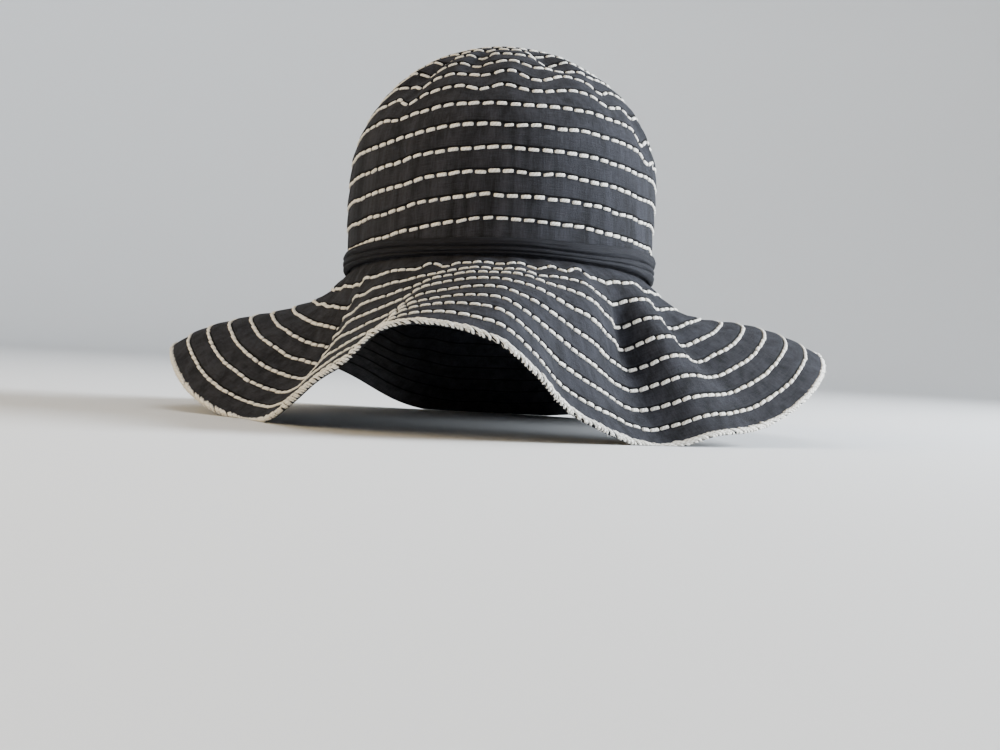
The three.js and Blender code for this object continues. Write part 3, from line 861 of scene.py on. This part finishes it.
def strand_mesh(paths, sideways, upwards, half_width, half_thick, sides):
    """Faces and points of many short strands at once. Each path has the same number of points, and
    round each point goes an oval ring whose size is given; both ends close on their own point."""
    many, steps = paths.shape[:2]
    angle = 2 * np.pi * (np.arange(sides) + 0.5) / sides
    wide = (half_width[..., None] * np.cos(angle))[..., None]
    thick = (half_thick[..., None] * np.sin(angle))[..., None]
    rings = paths[:, :, None] + sideways[:, :, None] * wide + upwards[:, :, None] * thick
    points = np.concatenate([rings.reshape(many, -1, 3), paths[:, [0, -1]]], 1)
    j, i = np.meshgrid(np.arange(steps - 1) * sides, np.arange(sides), indexing="ij")
    after = (i + 1) % sides
    quad = np.stack([j + i, j + after, j + sides + after, j + sides + i], -1).reshape(-1, 4)
    i, after = i[0], after[0]
    first, end = np.full(sides, steps * sides), (steps - 1) * sides
    cap = np.concatenate([
        np.stack([first, after, i], -1), np.stack([first + 1, end + i, end + after], -1)])
    start = (np.arange(many) * points.shape[1])[:, None, None]
    return points.reshape(-1, 3), [
        (quad[None] + start).reshape(-1, 4), (cap[None] + start).reshape(-1, 3)]


def strand_ways(paths, up):
    """Directions across strands and over them, from a rough upward one."""
    tangent = unit(np.gradient(paths, axis=1))
    across = unit(np.cross(up, tangent))
    return across, unit(np.cross(tangent, across))


def strand_uv(faces, steps, sides, length):
    """Each corner's uv on a strand: metres along it, and turns round it."""
    per = steps * sides + 2
    own, local = np.divmod(np.concatenate([f.ravel() for f in faces]), per)
    along = np.minimum(local // sides, steps - 1) / (steps - 1)
    along = np.where(local == per - 2, 0, along)
    turn = (local % sides) / sides
    return np.stack([along * length + STRAND_STRIDE * own, turn], -1)


def along_line(points, normals, at):
    """Points and normals of a closed line at given distances along it."""
    closed = np.concatenate([points, points[:1]])
    ways = np.concatenate([normals, normals[:1]])
    run = np.concatenate([[0], np.cumsum(np.linalg.norm(np.diff(closed, axis=0), axis=1))])
    at = at % run[-1]
    place = np.stack([np.interp(at, run, closed[:, c]) for c in range(3)], -1)
    way = np.stack([np.interp(at, run, ways[:, c]) for c in range(3)], -1)
    return place, unit(way)


def line_length(points):
    """Length of a closed line."""
    return np.linalg.norm(np.roll(points, -1, 0) - points, axis=1).sum()


def row_stitches(lines, pitch, length, stitching):
    """Stitches along closed lines: each is a bar bent along its line, turned a little from it,
    with blunt ends that are drawn down into the cloth."""
    draw, spread = np.random.default_rng(stitching.seed), STITCH_SPREAD
    paths, sideways, upwards = [], [], []
    q = column(STITCH_FORM, "along")
    for points, normals in lines:
        whole = line_length(points)
        many = max(int(round(whole / pitch)), 4)
        middle = (np.arange(many) + draw.uniform(0, 1)) * whole / many
        middle = middle + draw.normal(0, spread.place, many) * pitch
        own = length * (1 + draw.normal(0, spread.length, many)) * (whole / many) / pitch
        place, way = along_line(points, normals, middle[:, None] + q * own[:, None])
        across, _ = strand_ways(place, way)
        slant = np.radians(stitching.slant + draw.normal(0, spread.turn, many))
        shift = np.tan(slant)[:, None] * q * own[:, None]
        shift = shift + draw.normal(0, spread.shift, many)[:, None] * stitching.width
        paths.append(place + across * shift[..., None])
        sideways.append(across)
        upwards.append(way)
    paths, sideways, upwards = (np.concatenate(x) for x in (paths, sideways, upwards))
    fat = 1 + draw.normal(0, spread.size, (len(paths), 1))
    half_width = stitching.width / 2 * column(STITCH_FORM, "width") * fat
    half_thick = stitching.thickness / 2 * column(STITCH_FORM, "thick") * fat
    height = stitching.thickness / 2 * column(STITCH_FORM, "up") * fat
    paths = paths + upwards * height[..., None]
    points, faces = strand_mesh(paths, sideways, upwards, half_width, half_thick, STITCH_SIDES)
    return points, faces, strand_uv(faces, len(q), STITCH_SIDES, length)


def make_crown_stitches(shape, stitching, finish):
    """Rows of cream stitches on the crown, each just under its lap."""
    azimuth = all_round(LINE_ROUND)
    lift = np.full_like(azimuth, CROWN_LINE_LIFT)
    lines = [
        crown_face(shape, azimuth, np.full_like(azimuth, foot - stitching.below_lap), lift)
        for foot in crown_feet(shape)[1:]]
    points, faces, uv = row_stitches(
        lines, stitching.crown_pitch, stitching.crown_length, stitching)
    points = placed(shape, points)
    sew_piece("crown_stitches", points, faces, uv, cream_thread(finish))


def make_brim_stitches(shape, stitching, finish):
    """Rows of cream stitches on the brim, each just outside its lap."""
    azimuth = all_round(LINE_ROUND)
    lines = []
    for row in range(1, shape.brim_rows):
        place = brim_row(shape, azimuth, row) + stitching.below_lap
        points, normals = brim_line(shape, azimuth, place)
        lines.append((points + normals * BRIM_LINE_LIFT, normals))
    points, faces, uv = row_stitches(
        lines, stitching.brim_pitch, stitching.brim_length, stitching)
    points = placed(shape, points)
    sew_piece("brim_stitches", points, faces, uv, cream_thread(finish))


def brim_line(shape, azimuth, along):
    """Points and normals of one line round the brim's folded face."""
    points, normals = brim_lifted(shape, azimuth[:, None], along[:, None])
    return points[:, 0], normals[:, 0]


def make_rim_overcast(shape, stitching, finish):
    """Overcast rim: slanting strands that start on the cloth, cross the edge and turn under it,
    each with its own small changes, and fine frayed ends that stand out from the edge."""
    draw = np.random.default_rng(stitching.seed + 1)
    azimuth = all_round(LINE_ROUND)
    width = np.full_like(azimuth, shape.brim_width)
    edge, normal = brim_line(shape, azimuth, width)
    out = unit(edge - brim_line(shape, azimuth, width - EDGE_WIDTH)[0])
    many = int(line_length(edge) / stitching.strand_pitch)
    stray = draw.uniform(-STRAND_STRAY, STRAND_STRAY, many)
    start = (np.arange(many) + stray) * stitching.strand_pitch
    along, outer, upper, thick = (column(OVERCAST_PATH, name) for name in Bend._fields)
    own = 1 + draw.normal(0, STRAND_SPREAD, (many, 3))
    run = start[:, None] + along * stitching.strand_length * own[:, :1]
    place, up = along_line(edge, normal, run)
    _, away = along_line(edge, out, run)
    reach = stitching.strand_reach
    proud = draw.uniform(0, STRAND_PROUD, (many, 1)) * reach
    rise = upper * reach * own[:, 2:3] + np.where(upper > 0, proud, -0.3 * proud)
    paths = place + away * (outer * reach * own[:, 1:2])[..., None] + up * rise[..., None]
    spoke = unit(away * (outer > 0)[:, None] + up * upper[:, None])
    across, over = strand_ways(paths, spoke)
    size = 1 + draw.normal(0, STRAND_SIZE_SPREAD, (many, 1))
    radius = stitching.strand_radius * thick * size
    points, faces = strand_mesh(
        paths, across, over, radius, radius * STRAND_FLATNESS, STITCH_SIDES)
    uv = strand_uv(faces, len(along), STITCH_SIDES, stitching.strand_length)
    fray_points, fray_faces, fray_uv = frayed_ends(edge, normal, out, stitching, draw)
    core_points, core_faces, core_uv = rim_core(edge, normal, out, stitching)
    first, second = len(points), len(points) + len(fray_points)
    points = np.concatenate([points, fray_points, core_points])
    faces = faces + [f + first for f in fray_faces] + [core_faces + second]
    uv = np.concatenate([uv, fray_uv, core_uv])
    points = placed(shape, points, RIM_REST)
    sew_piece("rim_overcast", points, faces, uv, cream_thread(finish), "rim_cord")


def rim_core(edge, normal, out, stitching):
    """Even cord that runs round the rim under the strands and fills the gaps between them."""
    angle = (2 * np.pi * (np.arange(STITCH_SIDES) + 0.5) / STITCH_SIDES)[:, None, None]
    middle = edge - out * CORE_INSET * stitching.core_radius
    points = middle + stitching.core_radius * (np.cos(angle) * out + np.sin(angle) * normal)
    ring, col, quads = ring_faces(STITCH_SIDES, len(edge), True)
    uv = np.stack([col / len(edge) * line_length(edge), ring / STITCH_SIDES], -1)
    return points.reshape(-1, 3), quads[:, ::-1], uv[:, ::-1].reshape(-1, 2)


def frayed_ends(edge, normal, out, stitching, draw, steps=4):
    """Loose fibres along the rim: thin tapering strands that leave the edge at a slant."""
    many = int(line_length(edge) / FRAY_PITCH)
    start = np.arange(many) * FRAY_PITCH + draw.uniform(-FRAY_STRAY, FRAY_STRAY, many)
    q = np.linspace(0, 1, steps)
    length = draw.uniform(FRAY_SHORT, FRAY_LONG, many)
    run = start[:, None] + q * (length * draw.uniform(0.4, 1.0, many))[:, None]
    place, up = along_line(edge, normal, run)
    _, away = along_line(edge, out, run)
    far = (draw.uniform(0.15, 0.6, many) * length)[:, None]
    rise = (draw.uniform(-0.5, 0.5, many) * length)[:, None]
    curl = (draw.uniform(-0.4, 0.4, many) * length)[:, None]
    paths = place + away * (FRAY_ROOT + q * far)[..., None]
    paths = paths + up * (q * rise + q * (1 - q) * curl)[..., None]
    across, over = strand_ways(paths, up)
    radius = np.tile(stitching.strand_radius * FRAY_THIN * (1 - 0.7 * q), (many, 1))
    points, faces = strand_mesh(paths, across, over, radius, radius, FRAY_SIDES)
    return points, faces, strand_uv(faces, steps, FRAY_SIDES, FRAY_UV)


def math_method(operation, turned=False):
    """A method that adds one Math node, with its two values in turned order if need be."""
    def method(self, other):
        values = (other, self) if turned else (self, other)
        return self.board.math(operation, *values)
    return method


class Amount:
    """A number that varies over a surface. Arithmetic on it adds Math nodes."""

    def __init__(self, board, socket):
        self.board = board
        self.socket = socket

    __add__ = __radd__ = math_method("ADD")
    __mul__ = __rmul__ = math_method("MULTIPLY")
    __truediv__ = math_method("DIVIDE")
    __sub__ = math_method("SUBTRACT")
    __rsub__ = math_method("SUBTRACT", turned=True)

    def sine(self):
        return self.board.math("SINE", self)


class Board:
    """The nodes of one finish."""

    def __init__(self, name):
        self.material = bpy.data.materials.new(name)
        self.material.use_nodes = True
        self.tree = self.material.node_tree
        self.shader = self.tree.nodes["Principled BSDF"]

    def node(self, kind, settings, inputs):
        """A node of a type, with its settings made first and then its sockets' values or links."""
        made = self.tree.nodes.new(kind)
        for name, value in settings.items():
            setattr(made, name, value)
        for key, value in inputs.items():
            self.plug(made.inputs[key], value)
        return made

    def plug(self, socket, value):
        """A value or a link into a socket."""
        if isinstance(value, Amount):
            value = value.socket
        if isinstance(value, bpy.types.NodeSocket):
            self.tree.links.new(value, socket)
        else:
            socket.default_value = value

    def amount(self, kind, settings, inputs, output=0):
        """The number that a node gives."""
        return Amount(self, self.node(kind, settings, inputs).outputs[output])

    def math(self, operation, *values):
        """The result of one Math node."""
        return self.amount("ShaderNodeMath", {"operation": operation}, dict(enumerate(values)))

    def cloth_place(self):
        """Distances round and across the cloth, in metres, from the piece's own uv."""
        uv = self.node("ShaderNodeUVMap", {"uv_map": "cloth"}, {})
        parts = self.node("ShaderNodeSeparateXYZ", {}, {0: uv.outputs[0]})
        return Amount(self, parts.outputs[0]), Amount(self, parts.outputs[1])

    def lap_distance(self, v):
        """Distance from the foot of the row's lap, in metres."""
        return self.math("FLOORED_MODULO", v, ROW_STRIDE)

    def hat_place(self):
        """The point's own coordinates on the hat."""
        where = self.node("ShaderNodeTexCoord", {}, {}).outputs["Object"]
        parts = self.node("ShaderNodeSeparateXYZ", {}, {0: where})
        return tuple(Amount(self, parts.outputs[k]) for k in range(3))

    def place(self, x, y, z=0.0):
        """A vector from three numbers."""
        return self.node("ShaderNodeCombineXYZ", {}, {0: x, 1: y, 2: z}).outputs[0]

    def noise(self, where, detail=2.0, roughness=0.5):
        """Soft noise between 0 and 1 at a place, one cell to a unit."""
        return self.amount(
            "ShaderNodeTexNoise", {},
            {"Vector": where, "Scale": 1.0, "Detail": detail, "Roughness": roughness})

    def stretched(self, value, low, high):
        """A number between 0 and 1 as it goes from low to high."""
        return self.amount(
            "ShaderNodeMapRange", {"clamp": True},
            {"Value": value, "From Min": low, "From Max": high})

    def blend(self, factor, first, second):
        """A colour between two others."""
        mixed = self.node("ShaderNodeMix", {"data_type": "RGBA"}, {
            "Factor": factor, 6: first, 7: second})
        return mixed.outputs[2]

    def bumped(self, height, distance, strength):
        """A normal from a height."""
        return self.node("ShaderNodeBump", {}, {
            "Height": height, "Distance": distance, "Strength": strength}).outputs[0]

    def finish(self, **inputs):
        """Plug values or links into the shader's inputs, whose names have _ for a space."""
        for name, value in inputs.items():
            self.plug(self.shader.inputs[name.replace("_", " ")], value)
        return self.material


def solid(colour):
    """A colour property with its alpha."""
    return (*colour, 1.0)


def ribbon_cloth(finish):
    """Matt black ribbon: a fine plain weave, slubs that run along it as long thin streaks, uneven
    light and dark streaks that fall across the rows, and painted shade on the foot of each lap,
    under the overhanging edge of the row above.
    Here and below, a place is multiplied by the noise's cells to a metre."""
    board = Board("ribbon_cloth")
    u, v = board.cloth_place()
    x, y, z = board.hat_place()
    slub = board.noise(board.place(u * 130, v * 1500), 3, 0.6)
    cross = board.noise(board.place(u * 1300, v * 150, 3.0), 2)
    streak = board.noise(board.place(x * 150, y * 150, z * 14), 3, 0.65)
    grain = board.noise(board.place(u * 2000, v * 2000, 5.0), 2)
    tone = slub * 0.2 + cross * 0.18 + streak * 0.42 + grain * 0.2
    tone = board.stretched(tone, 0.4, 0.62)
    colour = board.blend(tone, solid(finish.ribbon_dark), solid(finish.ribbon_light))
    # Painted shade: the cloth within about a millimetre of each lap's foot, the ledge under the
    # overhanging edge of the row above, is blended towards near black.
    foot = board.stretched(board.lap_distance(v), 0.0011, 0.0005)
    colour = board.blend(foot * 0.85, colour, solid((0.001, 0.001, 0.0012)))
    turns = 2 * np.pi / finish.weave_pitch
    weave = (u * turns).sine() * (v * turns).sine()
    height = weave * 0.35 + slub * 1.2 + cross * 0.8 + grain * 0.8
    return board.finish(
        Base_Color=colour, Roughness=finish.ribbon_roughness + tone * 0.12,
        Specular_IOR_Level=0.14, Normal=board.bumped(height, 0.0003, 0.9))


def sash_cloth(finish):
    """Soft plain sash: a finer weave, with a little wear on its ridges."""
    board = Board("sash_cloth")
    u, v = board.cloth_place()
    slub = board.noise(board.place(u * 160, v * 1400), 3, 0.6)
    grain = board.noise(board.place(u * 2200, v * 2200, 5.0), 1)
    tone = board.stretched(slub * 0.6 + grain * 0.4, 0.3, 0.7)
    colour = board.blend(tone, solid(finish.sash_dark), solid(finish.sash_light))
    turns = 2 * np.pi / (0.8 * finish.weave_pitch)
    weave = (u * turns).sine() * (v * turns).sine()
    height = weave * 0.3 + slub * 0.8
    return board.finish(
        Base_Color=colour, Roughness=0.74 + tone * 0.12,
        Specular_IOR_Level=0.14, Normal=board.bumped(height, 0.0002, 0.7))


def cream_thread(finish):
    """Cream cotton thread: strands that wind round each stitch, light outside, with painted shade
    in the grooves between them and random darker fuzz.
    """
    board = Board("cream_thread")
    u, v = board.cloth_place()
    wobble = board.noise(board.place(u * 900, v * 6), 2)
    wound = (u * (2 * np.pi / 0.0011) + v * (4 * np.pi) + wobble * 3.0).sine()
    fuzz = board.noise(board.place(u * 5000, v * 30, 2.0), 2)
    # Painted shade: the winding's grooves darken the cream towards the dark colour, along with
    # random fuzz.
    tone = board.stretched(wound * 0.18 + fuzz * 0.6 + 0.36, 0.2, 0.75)
    colour = board.blend(tone, solid(finish.thread_shade_and_fuzz), solid(finish.thread_light))
    height = wound * 0.5 + fuzz * 0.8
    return board.finish(
        Base_Color=colour, Roughness=0.9 - tone * 0.08,
        Specular_IOR_Level=0.2, Normal=board.bumped(height, 0.0002, 0.7))


def stand(name, data, right, up, back, place):
    """A camera or a light at a place, turned by its three axes."""
    holder = bpy.data.objects.new(name, data)
    holder.matrix_world = Matrix([*np.stack([right, up, back, place], 1).tolist(), [0, 0, 0, 1]])
    bpy.context.scene.collection.objects.link(holder)
    return holder


def make_camera(shape, stage):
    """The camera at the photographed angle. In its own level view the crown leans back and to the
    right by the two angles; the same lean, undone, gives the camera's axes in the hat's frame."""
    t, s = np.radians(stage.tip_back), np.radians(stage.lean_right)
    tip = np.array([[1, 0, 0], [0, np.cos(t), np.sin(t)], [0, -np.sin(t), np.cos(t)]])
    lean = np.array([[np.cos(s), 0, np.sin(s)], [0, 1, 0], [-np.sin(s), 0, np.cos(s)]])
    turn, move = settled(shape)
    base = np.array([stage.seam_right, 0, stage.seam_above])
    axes = turn @ (lean @ tip).T
    place = axes @ (np.array([0, -stage.camera_distance, 0]) - base) + move
    camera = bpy.data.cameras.new("camera")
    camera.lens = stage.focal_length
    camera.sensor_width = 36
    camera.clip_start = 0.01
    bpy.context.scene.camera = stand(
        "camera", camera, axes[:, 0], axes[:, 2], -axes[:, 1], place)


def make_softbox(name, lamp, power):
    """A square soft light that looks at the lit point."""
    light = bpy.data.lights.new(name, "AREA")
    light.size, light.energy, light.color = lamp.width, power, lamp.colour
    back = unit(np.array(lamp.place) - np.array(LIT_POINT, float))
    right = unit(np.cross([0, 0, 1.0], back))
    stand(name, light, right, np.cross(back, right), back, lamp.place)


def make_floor(stage):
    """Floor and backdrop as one sheet: level, then a quarter circle, then upright, all round."""
    reach, radius, top = 2.4, 0.8, 2.6
    flat = np.linspace(0, reach, 12)
    bend = np.linspace(0, np.pi / 2, 16)[1:]
    out = np.concatenate([flat, reach + radius * np.sin(bend), [reach + radius]])
    up = np.concatenate([0 * flat, radius * (1 - np.cos(bend)), [top]])
    count = 96
    a = np.arange(count) * 2 * np.pi / count
    points = np.stack([
        out[:, None] * np.sin(a), -out[:, None] * np.cos(a), up[:, None] + 0 * a], -1)
    _, _, quads = ring_faces(len(out), count, False)
    board = Board("floor_paint")
    board.finish(Base_Color=solid(stage.floor_colour), Roughness=0.85)
    floor = sew_mesh("floor", points[1:].reshape(-1, 3), [
        quads[quads.min(1) >= count] - count,
        np.stack([np.zeros(count - 2, int), np.arange(1, count - 1), np.arange(2, count)], -1),
    ], None, board.material)


def make_stage(shape, stage):
    """Camera, floor, three soft lights and an even surround."""
    make_camera(shape, stage)
    make_floor(stage)
    for name, lamp in LAMPS.items():
        make_softbox(f"{name}_light", lamp, getattr(stage, f"{name}_power"))
    world = bpy.data.worlds.new("surround")
    world.use_nodes = True
    sky = world.node_tree.nodes["Background"]
    sky.inputs[0].default_value = SKY
    sky.inputs[1].default_value = stage.surround
    bpy.context.scene.world = world


class HAT_OT_crown(bpy.types.Operator):
    """Make the crown's lapped ribbon"""

    bl_idname = "hat.crown"
    bl_label = "Crown"

    def execute(self, context):
        make_crown(context.scene.hat_shape, context.scene.hat_finish)
        return {"FINISHED"}


class HAT_OT_brim(bpy.types.Operator):
    """Make the waving brim"""

    bl_idname = "hat.brim"
    bl_label = "Brim"

    def execute(self, context):
        make_brim(context.scene.hat_shape, context.scene.hat_finish)
        return {"FINISHED"}


class HAT_OT_band(bpy.types.Operator):
    """Make the folded band"""

    bl_idname = "hat.band"
    bl_label = "Band"

    def execute(self, context):
        make_band(context.scene.hat_shape, context.scene.hat_finish)
        return {"FINISHED"}


class HAT_OT_crown_stitches(bpy.types.Operator):
    """Make the rows of stitches on the crown"""

    bl_idname = "hat.crown_stitches"
    bl_label = "Crown stitches"

    def execute(self, context):
        scene = context.scene
        make_crown_stitches(scene.hat_shape, scene.hat_stitching, scene.hat_finish)
        return {"FINISHED"}


class HAT_OT_brim_stitches(bpy.types.Operator):
    """Make the rows of stitches on the brim"""

    bl_idname = "hat.brim_stitches"
    bl_label = "Brim stitches"

    def execute(self, context):
        scene = context.scene
        make_brim_stitches(scene.hat_shape, scene.hat_stitching, scene.hat_finish)
        return {"FINISHED"}


class HAT_OT_rim(bpy.types.Operator):
    """Make the overcast edge of the brim"""

    bl_idname = "hat.rim"
    bl_label = "Rim overcast"

    def execute(self, context):
        scene = context.scene
        make_rim_overcast(scene.hat_shape, scene.hat_stitching, scene.hat_finish)
        return {"FINISHED"}


class HAT_OT_stage(bpy.types.Operator):
    """Set the camera, the lights and the floor"""

    bl_idname = "hat.stage"
    bl_label = "Stage"

    def execute(self, context):
        make_stage(context.scene.hat_shape, context.scene.hat_stage)
        return {"FINISHED"}


OPERATORS = (
    HAT_OT_stage, HAT_OT_crown, HAT_OT_brim, HAT_OT_band, HAT_OT_crown_stitches,
    HAT_OT_brim_stitches, HAT_OT_rim,
)
SETTINGS = {
    "hat_shape": HatShape,
    "hat_stitching": HatStitching,
    "hat_finish": HatFinish,
    "hat_stage": HatStage,
}


class HAT_PT_panel(bpy.types.Panel):
    """Sizes, colours and pieces of the hat"""

    bl_label = "Floppy sun hat"
    bl_space_type = "VIEW_3D"
    bl_region_type = "UI"
    bl_category = "Hat"

    def draw(self, context):
        for operator in OPERATORS:
            self.layout.operator(operator.bl_idname)
        for name, group in SETTINGS.items():
            box = self.layout.box()
            for setting in group.__annotations__:
                box.prop(getattr(context.scene, name), setting)


def register():
    for group in SETTINGS.values():
        bpy.utils.register_class(group)
    for name, group in SETTINGS.items():
        setattr(bpy.types.Scene, name, PointerProperty(type=group))
    for shown in (*OPERATORS, HAT_PT_panel):
        bpy.utils.register_class(shown)


def unregister():
    for shown in (HAT_PT_panel, *reversed(OPERATORS)):
        bpy.utils.unregister_class(shown)
    for name, group in SETTINGS.items():
        delattr(bpy.types.Scene, name)
        bpy.utils.unregister_class(group)


def corners(box):
    """A box's two corners as plain lists."""
    return [[float(x) for x in corner] for corner in box]


def main():
    register()
    bpy.ops.hat.stage()
    bpy.ops.hat.crown()
    bpy.ops.hat.brim()
    bpy.ops.hat.band()
    bpy.ops.hat.crown_stitches()
    bpy.ops.hat.brim_stitches()
    bpy.ops.hat.rim()


if __name__ == "__main__":
    main()
